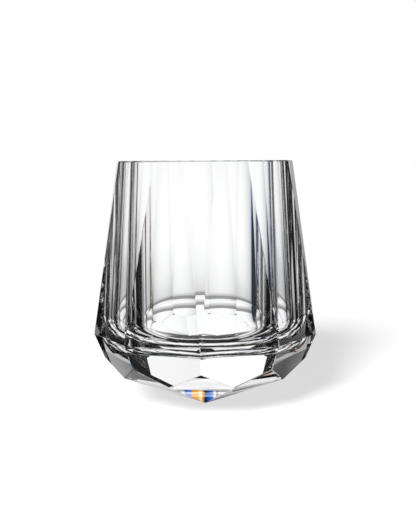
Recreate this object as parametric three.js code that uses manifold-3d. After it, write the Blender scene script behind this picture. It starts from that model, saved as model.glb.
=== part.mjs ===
// A rocking whisky tumbler: one piece of clear crystal, cut in facets outside and smooth inside.
// Millimetres, +Z up. The origin is the tip that the glass rocks on.
import * as THREE from 'three';
import { ConvexGeometry } from 'three/addons/geometries/ConvexGeometry.js';
import { mergeVertices, toCreasedNormals } from 'three/addons/utils/BufferGeometryUtils.js';
import Module from 'manifold-3d';

// Driving dimensions of the cut outside. A corner radius runs from the axis to a facet corner.
const SIDES = 9;
const HEIGHT = 100;
const RIM_CORNER_RADIUS = 35.7;
const RIM_BEVEL = 0.4;
const BELT_CORNER_RADIUS = 45.6;
const BELT_HEIGHT = 30.1;
const SHOULDER_CORNER_RADIUS = 41.45;
const SHOULDER_HEIGHT = 20.35;
const GIRDLE_HEIGHT = 13.9;
const TIP_FLAT_RADIUS = 0.9;

// Driving dimensions of the bowl inside.
const RIM_WALL = 2.0;
const BOWL_TAPER = 1.2;
const BOWL_FLOOR_HEIGHT = 26.8;
const BOWL_CORNER_RADIUS = 9;
const BOWL_FLOOR_DISH = 0.8;
const BOWL_RIM_BEVEL = 0.5;

// How finely the round bowl is divided.
const BOWL_SEGMENTS = 108;
const CORNER_DIVISIONS = 8;
const DISH_DIVISIONS = 6;

// Edges sharper than this look like cut edges, others like one smooth surface.
const CREASE_ANGLE = THREE.MathUtils.degToRad(14);

// The pattern repeats every step. Belt corners point to -Y (the front) and every step from there.
const STEP = (2 * Math.PI) / SIDES;
const FRONT = -Math.PI / 2;

// Evenly turned corners, in pairs when spread is given, at one height.
function ring(radius, height, firstAngle, spread = 0) {
  const offsets = spread > 0 ? [-spread / 2, spread / 2] : [0];
  const corners = [];
  for (let side = 0; side < SIDES; side += 1) {
    for (const offset of offsets) {
      const angle = firstAngle + side * STEP + offset;
      corners.push(new THREE.Vector3(radius * Math.cos(angle), radius * Math.sin(angle), height));
    }
  }
  return corners;
}

// The girdle corner under the middle of a belt edge lies in the plane of the steep pentagon facet
// that runs down from that edge past the two shoulder corners.
function girdleRadius() {
  const beltMiddle = BELT_CORNER_RADIUS * Math.cos(STEP / 2);
  const shoulderMiddle = SHOULDER_CORNER_RADIUS * Math.cos(STEP / 2);
  const drawIn = (beltMiddle - shoulderMiddle) / (BELT_HEIGHT - SHOULDER_HEIGHT);
  return shoulderMiddle - drawIn * (SHOULDER_HEIGHT - GIRDLE_HEIGHT);
}

// The whole cut outside as one solid block: wall panels, wedges between them, then three tiers
// of base facets that close on the tip.
function cutBlock() {
  const vertexAngle = FRONT;
  const panelAngle = FRONT + STEP / 2;
  const wedgeWidth = STEP / 2;
  const corners = [
    ...ring(RIM_CORNER_RADIUS - RIM_BEVEL, HEIGHT, vertexAngle, wedgeWidth),
    ...ring(RIM_CORNER_RADIUS, HEIGHT - RIM_BEVEL, vertexAngle, wedgeWidth),
    ...ring(BELT_CORNER_RADIUS, BELT_HEIGHT, vertexAngle),
    ...ring(SHOULDER_CORNER_RADIUS, SHOULDER_HEIGHT, vertexAngle),
    ...ring(girdleRadius(), GIRDLE_HEIGHT, panelAngle),
    ...ring(TIP_FLAT_RADIUS, 0, panelAngle),
  ];
  return new ConvexGeometry(corners);
}

// The bowl's half section, from the middle of its floor out and up past the rim.
function bowlSpace() {
  const wallAtRim = RIM_CORNER_RADIUS * Math.cos(STEP / 4) - RIM_WALL;
  const wallAtFloor = wallAtRim - BOWL_TAPER;
  const cornerCentre = wallAtFloor - BOWL_CORNER_RADIUS;
  const cornerHeight = BOWL_FLOOR_HEIGHT + BOWL_FLOOR_DISH + BOWL_CORNER_RADIUS;
  const overshoot = BOWL_RIM_BEVEL;

  const points = [];
  for (let i = 0; i < DISH_DIVISIONS; i += 1) {
    const out = i / DISH_DIVISIONS;
    points.push(new THREE.Vector2(cornerCentre * out, BOWL_FLOOR_HEIGHT + BOWL_FLOOR_DISH * out * out));
  }
  for (let i = 0; i <= CORNER_DIVISIONS; i += 1) {
    const turn = (i / CORNER_DIVISIONS) * (Math.PI / 2);
    points.push(new THREE.Vector2(
      cornerCentre + BOWL_CORNER_RADIUS * Math.sin(turn),
      cornerHeight - BOWL_CORNER_RADIUS * Math.cos(turn),
    ));
  }
  points.push(new THREE.Vector2(wallAtRim, HEIGHT - BOWL_RIM_BEVEL));
  points.push(new THREE.Vector2(wallAtRim + BOWL_RIM_BEVEL + overshoot, HEIGHT + overshoot));
  points.push(new THREE.Vector2(0, HEIGHT + overshoot));
  const space = new THREE.LatheGeometry(points, BOWL_SEGMENTS);
  return space.rotateX(Math.PI / 2);
}

const wasm = await Module();
wasm.setup();

// A closed mesh with shared corners, ready to be cut.
function solid(geometry) {
  const bare = geometry.clone();
  bare.deleteAttribute('normal');
  bare.deleteAttribute('uv');
  const merged = mergeVertices(bare, 1e-4);
  return new wasm.Manifold(new wasm.Mesh({
    numProp: 3,
    vertProperties: new Float32Array(merged.attributes.position.array),
    triVerts: new Uint32Array(merged.index.array),
  }));
}

// A cut solid as three.js geometry, with flat facets and a smooth bowl.
function geometryOf(shape) {
  const mesh = shape.getMesh();
  const geometry = new THREE.BufferGeometry();
  geometry.setAttribute('position', new THREE.BufferAttribute(mesh.vertProperties, mesh.numProp));
  geometry.setIndex(new THREE.BufferAttribute(mesh.triVerts, 1));
  return toCreasedNormals(geometry, CREASE_ANGLE);
}

const crystal = new THREE.MeshStandardMaterial({ color: 0xf4f8fa, roughness: 0.02, metalness: 0 });
const tumbler = new THREE.Mesh(geometryOf(solid(cutBlock()).subtract(solid(bowlSpace()))), crystal);
tumbler.name = 'crystal_tumbler';

const glass = new THREE.Group();
glass.add(tumbler);

export default glass;
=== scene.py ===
"""Rocking whisky tumbler of clear cut crystal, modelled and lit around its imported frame."""
import math
import bpy
from mathutils import Matrix, Vector


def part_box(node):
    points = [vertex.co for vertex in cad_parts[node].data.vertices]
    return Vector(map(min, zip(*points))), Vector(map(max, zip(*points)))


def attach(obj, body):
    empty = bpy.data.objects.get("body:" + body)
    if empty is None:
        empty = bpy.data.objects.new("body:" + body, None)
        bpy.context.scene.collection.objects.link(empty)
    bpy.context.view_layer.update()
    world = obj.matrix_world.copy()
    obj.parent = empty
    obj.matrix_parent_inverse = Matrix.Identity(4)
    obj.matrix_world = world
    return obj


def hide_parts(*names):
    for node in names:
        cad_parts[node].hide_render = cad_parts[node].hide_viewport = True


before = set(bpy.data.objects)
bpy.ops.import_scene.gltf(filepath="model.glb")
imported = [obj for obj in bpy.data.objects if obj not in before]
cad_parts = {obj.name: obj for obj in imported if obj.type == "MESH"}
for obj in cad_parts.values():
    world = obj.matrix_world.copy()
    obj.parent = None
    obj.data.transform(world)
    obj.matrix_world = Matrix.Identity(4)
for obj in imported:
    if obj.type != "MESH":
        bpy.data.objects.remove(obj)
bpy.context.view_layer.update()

bl_info = {
    "name": "Cut Crystal Rocking Tumbler",
    "version": (1, 0, 0),
    "blender": (4, 5, 0),
    "location": "View3D > Sidebar > Tumbler",
    "description": "Models a facetted rocking whisky tumbler and lights it on a white table",
    "category": "Object",
}

TUMBLER_NODE = "crystal_tumbler"
NODE_LOW, NODE_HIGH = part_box(TUMBLER_NODE)
GLASS_HEIGHT = NODE_HIGH[2]
BELT_RADIUS = -NODE_LOW[1]

# Facets that differ by less than FLAT_ANGLE are one facet, and edges flatter than SMOOTH_ANGLE are smooth.
FLAT_ANGLE = math.radians(0.3)
SMOOTH_ANGLE = math.radians(6)

# The table lies a hair under the tip.
TABLE_SIZE = 60.0
TABLE_GAP = 0.0001

# The sun's light travels to the right, to the back and down.
SUN_DIRECTION = Vector((0.55, 1.7, -1.0))

# Camera, in metres and degrees from the tip of the glass.
CAMERA_DISTANCE = 0.4147
CAMERA_HEIGHT = 0.1004
CAMERA_TURN = math.radians(2.55)
CAMERA_ROLL = math.radians(-0.35)
CAMERA_NEAR = 0.01
AIM_RIGHT = 0.00122
AIM_HEIGHT = 0.05943
LENS_MM = 70.4
SENSOR_MM = 36.0


def grey(value):
    """A neutral colour for a node socket."""
    return (value, value, value, 1.0)


def card(left, right, level, edge):
    """Ramp stops of one pale card with soft edges, between two azimuths."""
    return ((left - edge, BLACK), (left, grey(level)), (right, grey(level)), (right + edge, BLACK))


# The studio that shows in the glass, by azimuth in degrees: zero behind the glass, positive to the right.
HALF_TURN = 180
BLACK = grey(0.012)
WARM_EDGE = (0.75, 0.30, 0.04, 1.0)
COOL_EDGE = (0.04, 0.25, 0.80, 1.0)
BACKDROP = (
    (-36, BLACK), (-34.8, WARM_EDGE), (-33.5, grey(0.80)),
    (-20, grey(1.0)), (-10, grey(1.05)), (-2, grey(1.05)), (4, grey(1.0)), (10, grey(0.90)), (16, grey(0.76)),
    (20, grey(0.60)), (21.2, COOL_EDGE), (22.5, BLACK),
)
LEFT_WALL = ((-180, grey(0.75)), (-162, grey(0.75)), (-156, grey(0.92)), (-88, grey(0.92)), (-83, BLACK))
RIGHT_WALL = ((83, BLACK), (88, grey(0.92)), (156, grey(0.92)), (162, grey(0.75)), (180, grey(0.75)))
ROOM = (*LEFT_WALL, *BACKDROP, *RIGHT_WALL)

# Pale cards stand between the backdrop and the walls, plain ones low and striped ones high.
LOW_CARDS = (*card(-55, -44, 0.85, 2), *card(44, 55, 0.85, 2))
HIGH_CARDS = (
    (-56, BLACK), (-55, grey(0.5)), (-52, grey(0.5)),
    (-51, grey(0.08)), (-49, grey(0.08)), (-48, grey(0.6)), (-45.5, grey(0.6)),
    (-44.5, grey(0.10)), (-43, grey(0.10)), (-42, grey(0.55)), (-39, grey(0.35)), (-38, BLACK),
    (36, BLACK), (37, grey(0.75)), (39, grey(0.75)),
    (40, grey(0.15)), (42, grey(0.15)), (43, grey(0.8)), (45, grey(0.8)),
    (46, grey(0.12)), (47.5, grey(0.12)), (48.5, grey(0.85)), (50, grey(0.85)),
    (51, grey(0.12)), (52, grey(0.12)), (53, grey(0.7)), (55, grey(0.7)), (56, BLACK),
)

# Heights, as the direction's up part, over which the low cards end and the high cards begin.
LOW_CARDS_FADE = (-0.20, -0.24)
HIGH_CARDS_FADE = (-0.03, 0.03)

# A straight look through both walls of the glass takes four bounces, and the studio counts as one more.
SEE_THROUGH_DEPTH = 5.5

# How bright the studio is from straight down to straight up, at the back and round the rest of the room. Low at
# the back, between -0.355 and -0.285 up, the studio is darker as painted shade, standing for the glass's shadow
# on the table behind it, which the glass doesn't show.
BACK_LEVELS = (
    (-1.0, grey(0.03)), (-0.95, grey(0.03)), (-0.90, grey(0.9)), (-0.80, grey(1.0)),
    (-0.455, grey(1.0)), (-0.445, grey(0.32)), (-0.365, grey(0.32)), (-0.355, grey(0.58)),
    (-0.31, grey(0.66)), (-0.285, grey(0.90)), (-0.25, grey(1.0)), (-0.19, grey(1.0)), (-0.15, grey(0.94)),
    (-0.10, grey(0.88)), (0.0, grey(0.95)), (0.10, grey(1.0)), (0.32, grey(1.0)), (0.50, grey(0.60)),
    (0.60, grey(0.03)), (1.0, grey(0.03)),
)
WALL_LEVELS = (
    (-1.0, grey(0.03)), (-0.95, grey(0.03)), (-0.90, grey(0.9)), (-0.05, grey(1.0)), (0.05, grey(0.3)),
    (0.50, grey(0.2)), (0.60, grey(0.03)), (1.0, grey(0.03)),
)
BACK_FADE = (-0.1, 0.15)

# A small prism strip low at the back, which the facet at the tip mirrors, by direction across.
STRIP_LEFT = -0.064
STRIP_RIGHT = -0.032
STRIP_UP = -0.525
STRIP_HALF_HEIGHT = 0.009
DARK = grey(0.01)
BLUE = (0.02, 0.45, 1.7, 1.0)
DEEP_BLUE = (0.0, 0.10, 0.6, 1.0)
ORANGE = (2.0, 0.75, 0.02, 1.0)
AMBER = (2.2, 1.0, 0.10, 1.0)
CREAM = (2.2, 1.9, 1.2, 1.0)
RUST = (1.8, 0.6, 0.02, 1.0)
TIP_FIRE = (
    (STRIP_LEFT, DARK), (-0.0600, BLUE), (-0.0580, BLUE), (-0.0560, ORANGE), (-0.0510, AMBER), (-0.0480, CREAM),
    (-0.0460, RUST), (-0.0440, DARK), (-0.0415, DEEP_BLUE), (-0.0370, BLUE), (-0.0345, grey(1.8)),
    (STRIP_RIGHT, DARK),
)

# What the table and the camera get from the world.
TABLE_LIGHT = grey(0.82)
WHITE = grey(1.0)


class TumblerSizes(bpy.types.PropertyGroup):
    """Sizes of the cut outside and the smooth bowl."""

    sides: bpy.props.IntProperty(
        name="Sides", description="Repeats of the cut pattern round the glass", default=9)
    height: bpy.props.FloatProperty(
        name="Height", description="Tip to rim", default=GLASS_HEIGHT, unit="LENGTH")
    rim_radius: bpy.props.FloatProperty(
        name="Rim corner radius", description="Axis to a corner of the rim", default=0.0357, unit="LENGTH")
    rim_bevel_width: bpy.props.FloatProperty(
        name="Rim bevel width", description="How far the bevel round the rim draws in",
        default=0.00022, unit="LENGTH")
    rim_bevel_height: bpy.props.FloatProperty(
        name="Rim bevel height", description="How far the bevel round the rim reaches down",
        default=0.0004, unit="LENGTH")
    belt_radius: bpy.props.FloatProperty(
        name="Belt corner radius", description="Axis to a corner of the belt",
        default=BELT_RADIUS, unit="LENGTH")
    belt_height: bpy.props.FloatProperty(
        name="Belt height", description="Tip to the widest line", default=0.0301, unit="LENGTH")
    shoulder_radius: bpy.props.FloatProperty(
        name="Shoulder corner radius", description="Axis to the point under a belt corner",
        default=0.04145, unit="LENGTH")
    shoulder_height: bpy.props.FloatProperty(
        name="Shoulder height", description="Height of the points under the belt corners",
        default=0.02035, unit="LENGTH")
    girdle_height: bpy.props.FloatProperty(
        name="Girdle height", description="Height of the edge that the lowest facets start from",
        default=0.0139, unit="LENGTH")
    tip_radius: bpy.props.FloatProperty(
        name="Tip flat radius", description="Small polished flat at the tip", default=0.0009, unit="LENGTH")
    rim_wall: bpy.props.FloatProperty(
        name="Rim wall", description="Thinnest wall at the rim", default=0.002, unit="LENGTH")
    bowl_taper: bpy.props.FloatProperty(
        name="Bowl taper", description="How far the bowl wall draws in towards its floor",
        default=0.0012, unit="LENGTH")
    bowl_floor: bpy.props.FloatProperty(
        name="Bowl floor height", description="Tip to the middle of the bowl floor",
        default=0.0268, unit="LENGTH")
    bowl_corner: bpy.props.FloatProperty(
        name="Bowl corner radius", description="Rounding between bowl wall and floor",
        default=0.009, unit="LENGTH")
    bowl_dish: bpy.props.FloatProperty(
        name="Bowl floor dish", description="Rise of the bowl floor from its middle to its corner",
        default=0.0008, unit="LENGTH")
    bowl_rim_bevel: bpy.props.FloatProperty(
        name="Bowl rim bevel", description="Bevel round the inside of the rim", default=0.0005, unit="LENGTH")
    edge_polish: bpy.props.FloatProperty(
        name="Edge polish", description="Width of the polished line along each cut edge",
        default=0.00012, unit="LENGTH")


class TumblerLooks(bpy.types.PropertyGroup):
    """Colours and light."""

    glass_colour: bpy.props.FloatVectorProperty(
        name="Crystal tint", description="What the crystal lets through", subtype="COLOR",
        default=(0.995, 0.998, 0.998))
    index: bpy.props.FloatProperty(
        name="Index", description="How strongly the crystal bends light", default=1.55)
    mirroring: bpy.props.FloatProperty(
        name="Mirroring", description="How much the crystal's surface mirrors, where one is plain glass",
        default=0.2, subtype="FACTOR")
    table_colour: bpy.props.FloatVectorProperty(
        name="Table colour", description="Pale table under the glass", subtype="COLOR", default=(0.9, 0.9, 0.9))
    table_roughness: bpy.props.FloatProperty(
        name="Table roughness", description="How matt the table is", default=0.6, subtype="FACTOR")
    table_gloss: bpy.props.FloatProperty(
        name="Table gloss", description="How strongly the table mirrors", default=0.2, subtype="FACTOR")
    sun_strength: bpy.props.FloatProperty(
        name="Sun strength", description="Light of the soft key lamp", default=2.6)
    sun_spread: bpy.props.FloatProperty(
        name="Sun spread", description="Softness of the shadow", default=math.radians(14), unit="ROTATION")


def clear_selection():
    """Leaves edit mode and deselects everything."""
    if bpy.context.object and bpy.context.object.mode != "OBJECT":
        bpy.ops.object.mode_set(mode="OBJECT")
    bpy.ops.object.select_all(action="DESELECT")


def add_ring(count, radius, height, turn):
    """Adds a ring of corners in edit mode, the first one turned from the back."""
    bpy.ops.mesh.primitive_circle_add(
        vertices=count, radius=radius, location=(0, 0, height), rotation=(0, 0, turn))


def girdle_radius(size):
    """Corner radius where the steep facets' planes reach the girdle height."""
    half_step = math.pi / size.sides
    belt_middle = size.belt_radius * math.cos(half_step)
    shoulder_middle = size.shoulder_radius * math.cos(half_step)
    draw_in = (belt_middle - shoulder_middle) / (size.belt_height - size.shoulder_height)
    return shoulder_middle - draw_in * (size.shoulder_height - size.girdle_height)


def cut_block(size):
    """The outside as one solid block with flat facets and fine polished edges."""
    step = 2 * math.pi / size.sides
    front = math.pi
    clear_selection()
    bpy.ops.mesh.primitive_circle_add(
        vertices=size.sides, radius=size.belt_radius, location=(0, 0, size.belt_height), rotation=(0, 0, front))
    block = bpy.context.object
    bpy.ops.object.transform_apply(location=True, rotation=True, scale=True)
    bpy.ops.object.mode_set(mode="EDIT")
    rim_count = 2 * size.sides
    add_ring(rim_count, size.rim_radius - size.rim_bevel_width, size.height, front + step / 4)
    add_ring(rim_count, size.rim_radius, size.height - size.rim_bevel_height, front + step / 4)
    add_ring(size.sides, size.shoulder_radius, size.shoulder_height, front)
    add_ring(size.sides, girdle_radius(size), size.girdle_height, front + step / 2)
    add_ring(size.sides, size.tip_radius, 0.0, front + step / 2)
    bpy.ops.mesh.select_all(action="SELECT")
    bpy.ops.mesh.convex_hull()
    bpy.ops.mesh.select_all(action="SELECT")
    bpy.ops.mesh.dissolve_limited(angle_limit=FLAT_ANGLE)
    bpy.ops.mesh.select_all(action="SELECT")
    bpy.ops.mesh.bevel(offset=size.edge_polish, segments=1, affect="EDGES", clamp_overlap=True)
    bpy.ops.mesh.select_all(action="SELECT")
    bpy.ops.mesh.normals_make_consistent(inside=False)
    bpy.ops.object.mode_set(mode="OBJECT")
    return block


def bowl_profile(size, corner_steps=20, dish_steps=8):
    """Points of the bowl's half section, from the middle of its floor out and up past the rim."""
    wall_at_rim = size.rim_radius * math.cos(math.pi / (2 * size.sides)) - size.rim_wall
    wall_at_floor = wall_at_rim - size.bowl_taper
    corner_x = wall_at_floor - size.bowl_corner
    corner_z = size.bowl_floor + size.bowl_dish + size.bowl_corner
    points = []
    for i in range(dish_steps):
        out = i / dish_steps
        points.append((corner_x * out, size.bowl_floor + size.bowl_dish * out * out))
    for i in range(corner_steps + 1):
        turn = (i / corner_steps) * math.pi / 2
        out = size.bowl_corner * math.sin(turn)
        drop = size.bowl_corner * math.cos(turn)
        points.append((corner_x + out, corner_z - drop))
    points.append((wall_at_rim, size.height - size.bowl_rim_bevel))
    points.append((wall_at_rim + 2 * size.bowl_rim_bevel, size.height + size.bowl_rim_bevel))
    points.append((0.0, size.height + size.bowl_rim_bevel))
    return points


def bowl_space(size, spin_steps=360, seed_size=0.001, weld_distance=1e-6):
    """The hollow as a solid of revolution, drawn as a profile and spun."""
    clear_selection()
    points = bowl_profile(size)
    bpy.ops.mesh.primitive_plane_add(size=seed_size, location=(points[0][0], 0, points[0][1]))
    space = bpy.context.object
    bpy.ops.object.transform_apply(location=True, rotation=True, scale=True)
    bpy.ops.object.mode_set(mode="EDIT")
    bpy.ops.mesh.select_all(action="SELECT")
    bpy.ops.mesh.merge(type="CENTER")
    for (x0, z0), (x1, z1) in zip(points, points[1:]):
        bpy.ops.mesh.extrude_region_move(TRANSFORM_OT_translate={"value": (x1 - x0, 0, z1 - z0)})
    bpy.ops.mesh.select_all(action="SELECT")
    bpy.ops.mesh.spin(steps=spin_steps, angle=2 * math.pi, center=(0, 0, 0), axis=(0, 0, 1))
    bpy.ops.mesh.select_all(action="SELECT")
    bpy.ops.mesh.remove_doubles(threshold=weld_distance)
    bpy.ops.mesh.select_all(action="SELECT")
    bpy.ops.mesh.normals_make_consistent(inside=False)
    bpy.ops.object.mode_set(mode="OBJECT")
    return space


def hollow_out(block, space):
    """Takes the bowl out of the block and deletes the tool."""
    clear_selection()
    block.select_set(True)
    bpy.context.view_layer.objects.active = block
    cut = block.modifiers.new("Bowl", "BOOLEAN")
    cut.operation = "DIFFERENCE"
    cut.solver = "EXACT"
    cut.object = space
    bpy.ops.object.modifier_apply(modifier=cut.name)
    bpy.data.objects.remove(space, do_unlink=True)


def crystal_material(looks):
    """Clear polished crystal."""
    material = bpy.data.materials.new("clear_crystal")
    material.use_nodes = True
    shader = material.node_tree.nodes["Principled BSDF"]
    shader.inputs["Base Color"].default_value = (*looks.glass_colour, 1.0)
    shader.inputs["Roughness"].default_value = 0.0
    shader.inputs["IOR"].default_value = looks.index
    shader.inputs["Transmission Weight"].default_value = 1.0
    shader.inputs["Specular Tint"].default_value = grey(looks.mirroring)
    return material


class TUMBLER_OT_crystal(bpy.types.Operator):
    """Model the tumbler: a cut block with a smooth bowl taken out of it"""

    bl_idname = "tumbler.crystal"
    bl_label = "Crystal Tumbler"

    def execute(self, context):
        size = context.scene.tumbler_sizes
        looks = context.scene.tumbler_looks
        tumbler = cut_block(size)
        hollow_out(tumbler, bowl_space(size))
        tumbler.name = "cut_crystal_tumbler"
        tumbler.data.name = "cut_crystal_tumbler"
        clear_selection()
        tumbler.select_set(True)
        context.view_layer.objects.active = tumbler
        bpy.ops.object.shade_smooth_by_angle(angle=SMOOTH_ANGLE)
        tumbler.data.materials.clear()
        tumbler.data.materials.append(crystal_material(looks))
        tumbler.visible_diffuse = False
        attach(tumbler, "root")
        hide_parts(TUMBLER_NODE)
        return {"FINISHED"}


def table_material(looks):
    """Pale matt table."""
    material = bpy.data.materials.new("pale_table")
    material.use_nodes = True
    shader = material.node_tree.nodes["Principled BSDF"]
    shader.inputs["Base Color"].default_value = (*looks.table_colour, 1.0)
    shader.inputs["Roughness"].default_value = looks.table_roughness
    shader.inputs["Specular IOR Level"].default_value = looks.table_gloss
    return material


def add_table(looks):
    """The table, which the glass doesn't show, so that the studio's own floor colours show in it."""
    clear_selection()
    bpy.ops.mesh.primitive_plane_add(size=TABLE_SIZE, location=(0, 0, -TABLE_GAP))
    table = bpy.context.object
    table.name = "table"
    table.data.materials.append(table_material(looks))
    table.visible_transmission = False
    table.visible_glossy = False


def add_sun(looks):
    """One soft lamp from the front left, which throws the shadow back and to the right."""
    bpy.ops.object.light_add(type="SUN")
    lamp = bpy.context.object
    lamp.name = "soft_key"
    lamp.data.angle = looks.sun_spread
    lamp.data.energy = looks.sun_strength
    lamp.visible_transmission = False
    lamp.visible_glossy = False
    lamp.rotation_euler = SUN_DIRECTION.to_track_quat("-Z", "Y").to_euler()


def add_math(tree, operation, *values):
    """A math node; each input is a socket or a number."""
    node = tree.nodes.new("ShaderNodeMath")
    node.operation = operation
    for socket, value in zip(node.inputs, values):
        if isinstance(value, (int, float)):
            socket.default_value = value
        else:
            tree.links.new(value, socket)
    return node.outputs[0]


def add_fade(tree, value, start, end):
    """Zero at start, one at end and smooth between."""
    node = tree.nodes.new("ShaderNodeMapRange")
    node.interpolation_type = "SMOOTHSTEP"
    tree.links.new(value, node.inputs["Value"])
    node.inputs["From Min"].default_value = start
    node.inputs["From Max"].default_value = end
    return node.outputs["Result"]


def add_mix(tree, factor, first, second, blend="MIX"):
    """A colour mix; each colour is a socket or a tuple. It is full when the factor is left out."""
    node = tree.nodes.new("ShaderNodeMix")
    node.data_type = "RGBA"
    node.blend_type = blend
    if factor is None:
        node.inputs[0].default_value = 1.0
    else:
        tree.links.new(factor, node.inputs[0])
    for socket, value in ((node.inputs[6], first), (node.inputs[7], second)):
        if isinstance(value, tuple):
            socket.default_value = value
        else:
            tree.links.new(value, socket)
    return node.outputs[2]


def add_ramp(tree, value, low, high, stops):
    """Colours along a value between low and high."""
    span = tree.nodes.new("ShaderNodeMapRange")
    tree.links.new(value, span.inputs["Value"])
    span.inputs["From Min"].default_value = low
    span.inputs["From Max"].default_value = high
    ramp = tree.nodes.new("ShaderNodeValToRGB")
    tree.links.new(span.outputs["Result"], ramp.inputs["Fac"])
    elements = ramp.color_ramp.elements
    elements.remove(elements[0])
    elements[0].position = (stops[0][0] - low) / (high - low)
    elements[0].color = stops[0][1]
    for place, colour in stops[1:]:
        elements.new((place - low) / (high - low)).color = colour
    return ramp.outputs["Color"]


def studio_room(tree, azimuth, up, ray_depth):
    """Backdrop, walls and cards. Light that bounces on inside the crystal sees no wall and no low card."""
    room, backdrop, low_cards, high_cards = (
        add_ramp(tree, azimuth, -HALF_TURN, HALF_TURN, stops)
        for stops in (ROOM, BACKDROP, LOW_CARDS, HIGH_CARDS))
    room = add_mix(tree, add_fade(tree, up, *LOW_CARDS_FADE), room, low_cards, "LIGHTEN")
    bounced_on = add_math(tree, "GREATER_THAN", ray_depth, SEE_THROUGH_DEPTH)
    room = add_mix(tree, bounced_on, room, backdrop)
    return add_mix(tree, add_fade(tree, up, *HIGH_CARDS_FADE), room, high_cards, "LIGHTEN")


def studio_levels(tree, depth, up):
    """Brightness by height, with a dark band at the back for the rim's line, and painted shade above that band
    for the glass's shadow on the table behind it.
    """
    wall, back = (add_ramp(tree, up, -1, 1, stops) for stops in (WALL_LEVELS, BACK_LEVELS))
    return add_mix(tree, add_fade(tree, depth, *BACK_FADE), wall, back)


def add_tip_fire(tree, colour, across, depth, up):
    """Lays the prism strip over the studio's colour."""
    strip = add_ramp(tree, across, STRIP_LEFT, STRIP_RIGHT, TIP_FIRE)
    middle = (STRIP_LEFT + STRIP_RIGHT) / 2
    half_width = (STRIP_RIGHT - STRIP_LEFT) / 2
    beside = add_math(tree, "COMPARE", across, middle, half_width)
    level = add_math(tree, "COMPARE", up, STRIP_UP, STRIP_HALF_HEIGHT)
    behind = add_math(tree, "GREATER_THAN", depth, 0.0)
    inside = add_math(tree, "MULTIPLY", add_math(tree, "MULTIPLY", beside, level), behind)
    return add_mix(tree, inside, colour, strip)


def studio_world(scene):
    """Plain white for the camera and the table; the glass sees a lit backdrop and black gaps."""
    world = bpy.data.worlds.new("white_studio")
    scene.world = world
    world.use_nodes = True
    tree = world.node_tree
    tree.nodes.clear()
    output = tree.nodes.new("ShaderNodeOutputWorld")
    background = tree.nodes.new("ShaderNodeBackground")
    paths = tree.nodes.new("ShaderNodeLightPath")
    coords = tree.nodes.new("ShaderNodeTexCoord")
    split = tree.nodes.new("ShaderNodeSeparateXYZ")
    tree.links.new(coords.outputs["Generated"], split.inputs[0])
    across, depth, up = split.outputs
    azimuth = add_math(tree, "DEGREES", add_math(tree, "ARCTAN2", across, depth))
    room = studio_room(tree, azimuth, up, paths.outputs["Ray Depth"])
    colour = add_mix(tree, None, room, studio_levels(tree, depth, up), "MULTIPLY")
    colour = add_tip_fire(tree, colour, across, depth, up)
    from_table = add_math(tree, "MINIMUM", paths.outputs["Diffuse Depth"], 1.0)
    colour = add_mix(tree, from_table, colour, TABLE_LIGHT)
    colour = add_mix(tree, paths.outputs["Is Camera Ray"], colour, WHITE)
    tree.links.new(colour, background.inputs["Color"])
    background.inputs["Strength"].default_value = 1.0
    tree.links.new(background.outputs[0], output.inputs["Surface"])


def add_camera(scene):
    """Camera at rim height, looking a little down, as in the photograph."""
    right = Vector((math.cos(CAMERA_TURN), math.sin(CAMERA_TURN), 0))
    towards = Vector((math.sin(CAMERA_TURN), -math.cos(CAMERA_TURN), 0))
    eye = towards * CAMERA_DISTANCE + Vector((0, 0, CAMERA_HEIGHT))
    aim = right * AIM_RIGHT + Vector((0, 0, AIM_HEIGHT))
    data = bpy.data.cameras.new("photo_camera")
    data.lens = LENS_MM
    data.sensor_width = SENSOR_MM
    data.clip_start = CAMERA_NEAR
    camera = bpy.data.objects.new("photo_camera", data)
    scene.collection.objects.link(camera)
    turn = (aim - eye).to_track_quat("-Z", "Y").to_matrix().to_4x4()
    camera.matrix_world = Matrix.Translation(eye) @ turn @ Matrix.Rotation(CAMERA_ROLL, 4, "Z")
    scene.camera = camera


class TUMBLER_OT_stage(bpy.types.Operator):
    """Set the table, the studio light and the camera"""

    bl_idname = "tumbler.stage"
    bl_label = "Stage"

    def execute(self, context):
        scene = context.scene
        looks = scene.tumbler_looks
        add_table(looks)
        add_sun(looks)
        studio_world(scene)
        add_camera(scene)
        scene.view_settings.view_transform = "Standard"
        scene.cycles.max_bounces = 32
        scene.cycles.transmission_bounces = 32
        scene.cycles.glossy_bounces = 16
        return {"FINISHED"}


class TUMBLER_PT_panel(bpy.types.Panel):
    """Buttons for the tumbler and its stage"""

    bl_idname = "TUMBLER_PT_panel"
    bl_label = "Rocking Tumbler"
    bl_space_type = "VIEW_3D"
    bl_region_type = "UI"
    bl_category = "Tumbler"

    def draw(self, context):
        layout = self.layout
        layout.operator(TUMBLER_OT_crystal.bl_idname)
        layout.operator(TUMBLER_OT_stage.bl_idname)


CLASSES = (TumblerSizes, TumblerLooks, TUMBLER_OT_crystal, TUMBLER_OT_stage, TUMBLER_PT_panel)


def register():
    for cls in CLASSES:
        bpy.utils.register_class(cls)
    bpy.types.Scene.tumbler_sizes = bpy.props.PointerProperty(type=TumblerSizes)
    bpy.types.Scene.tumbler_looks = bpy.props.PointerProperty(type=TumblerLooks)


def unregister():
    del bpy.types.Scene.tumbler_looks
    del bpy.types.Scene.tumbler_sizes
    for cls in reversed(CLASSES):
        bpy.utils.unregister_class(cls)


def main():
    register()
    bpy.ops.tumbler.crystal()
    bpy.ops.tumbler.stage()


if __name__ == "__main__":
    main()
